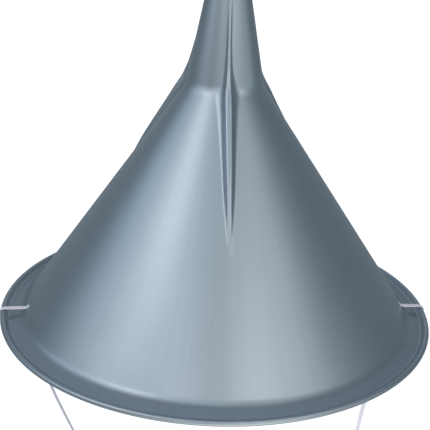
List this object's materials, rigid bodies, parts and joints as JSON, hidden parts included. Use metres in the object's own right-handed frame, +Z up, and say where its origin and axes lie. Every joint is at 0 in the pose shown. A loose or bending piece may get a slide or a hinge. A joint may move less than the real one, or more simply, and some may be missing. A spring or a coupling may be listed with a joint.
{
  "type": "funnel hat",
  "caption": "Funnel-shaped hat: moulded cone with a long open spout, gusset ribs and a rolled brim, held on by a flat elastic chin cord.",
  "frame": {"origin": "centre of the mouth, in the plane of the brim's underside, where the head goes in", "axes": "+Z up along the spout's axis, away from the head; -Y to the front, where a rib stands 1.3 degrees to one side; the two cord holes are near -X and +X, a little forward"},
  "size_m": [0.2458, 0.24, 0.3618],
  "materials": {
    "silver_plastic": "satin metallic blue-grey, moulded in colour",
    "white_elastic": "braided flat elastic, white with a lavender cast"
  },
  "bodies": {
    "root": {"funnel_shell": "silver_plastic", "chin_cord": "white_elastic", "left_cord_knot": "white_elastic", "right_cord_knot": "white_elastic"}
  },
  "joints": []
}
